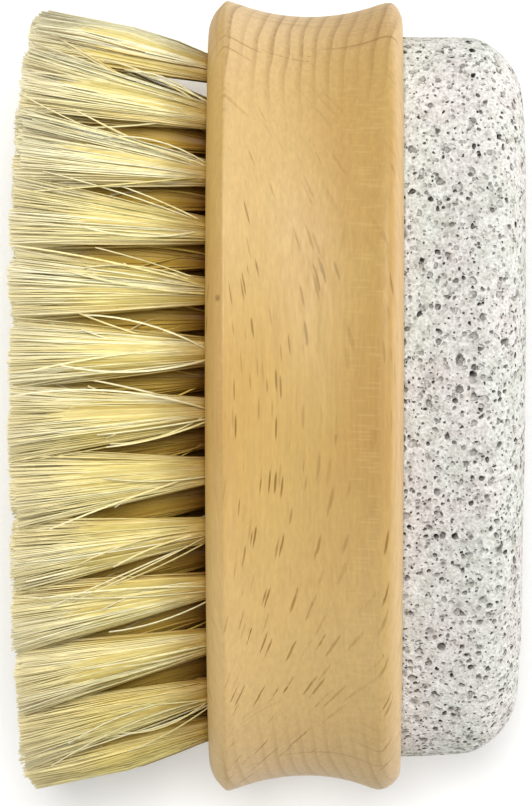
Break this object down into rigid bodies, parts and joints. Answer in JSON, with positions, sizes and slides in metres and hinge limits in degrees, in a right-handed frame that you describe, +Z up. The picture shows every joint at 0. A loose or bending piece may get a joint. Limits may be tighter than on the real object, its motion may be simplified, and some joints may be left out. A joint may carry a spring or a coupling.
{
  "type": "two-sided body brush",
  "caption": "Oval wooden hand brush with natural bristle tufts on one face, a pumice stone on the other and a finger groove round its side.",
  "frame": {"origin": "centre of the footprint of the brush's box, on the surface that it lies on", "axes": "+Y along the block's length, +X out of the pumice face, -X out of the bristle face, +Z up across the block's width"},
  "size_m": [0.0634, 0.1, 0.046],
  "materials": {
    "beech": "satin",
    "pumice": "matte",
    "bristle": "satin",
    "steel_wire": "satin",
    "adhesive": "satin"
  },
  "bodies": {
    "root": {"handle_block": "beech", "pumice_stone": "pumice", "adhesive_bed": "adhesive", "outer_bristle_ring": "bristle", "middle_bristle_ring": "bristle", "centre_bristle_row": "bristle", "staple_anchor_01": "steel_wire", "staple_anchor_02": "steel_wire", "staple_anchor_03": "steel_wire", "staple_anchor_04": "steel_wire", "staple_anchor_05": "steel_wire", "staple_anchor_06": "steel_wire", "staple_anchor_07": "steel_wire", "staple_anchor_08": "steel_wire", "staple_anchor_09": "steel_wire", "staple_anchor_10": "steel_wire", "staple_anchor_11": "steel_wire", "staple_anchor_12": "steel_wire", "staple_anchor_13": "steel_wire", "staple_anchor_14": "steel_wire", "staple_anchor_15": "steel_wire", "staple_anchor_16": "steel_wire", "staple_anchor_17": "steel_wire", "staple_anchor_18": "steel_wire", "staple_anchor_19": "steel_wire", "staple_anchor_20": "steel_wire", "staple_anchor_21": "steel_wire", "staple_anchor_22": "steel_wire", "staple_anchor_23": "steel_wire", "staple_anchor_24": "steel_wire", "staple_anchor_25": "steel_wire", "staple_anchor_26": "steel_wire", "staple_anchor_27": "steel_wire", "staple_anchor_28": "steel_wire", "staple_anchor_29": "steel_wire", "staple_anchor_30": "steel_wire", "staple_anchor_31": "steel_wire", "staple_anchor_32": "steel_wire", "staple_anchor_33": "steel_wire", "staple_anchor_34": "steel_wire", "staple_anchor_35": "steel_wire", "staple_anchor_36": "steel_wire", "staple_anchor_37": "steel_wire", "staple_anchor_38": "steel_wire", "staple_anchor_39": "steel_wire", "staple_anchor_40": "steel_wire", "staple_anchor_41": "steel_wire", "staple_anchor_42": "steel_wire", "staple_anchor_43": "steel_wire", "staple_anchor_44": "steel_wire", "staple_anchor_45": "steel_wire", "staple_anchor_46": "steel_wire", "staple_anchor_47": "steel_wire", "staple_anchor_48": "steel_wire", "staple_anchor_49": "steel_wire", "staple_anchor_50": "steel_wire", "staple_anchor_51": "steel_wire", "staple_anchor_52": "steel_wire", "staple_anchor_53": "steel_wire"}
  },
  "joints": []
}
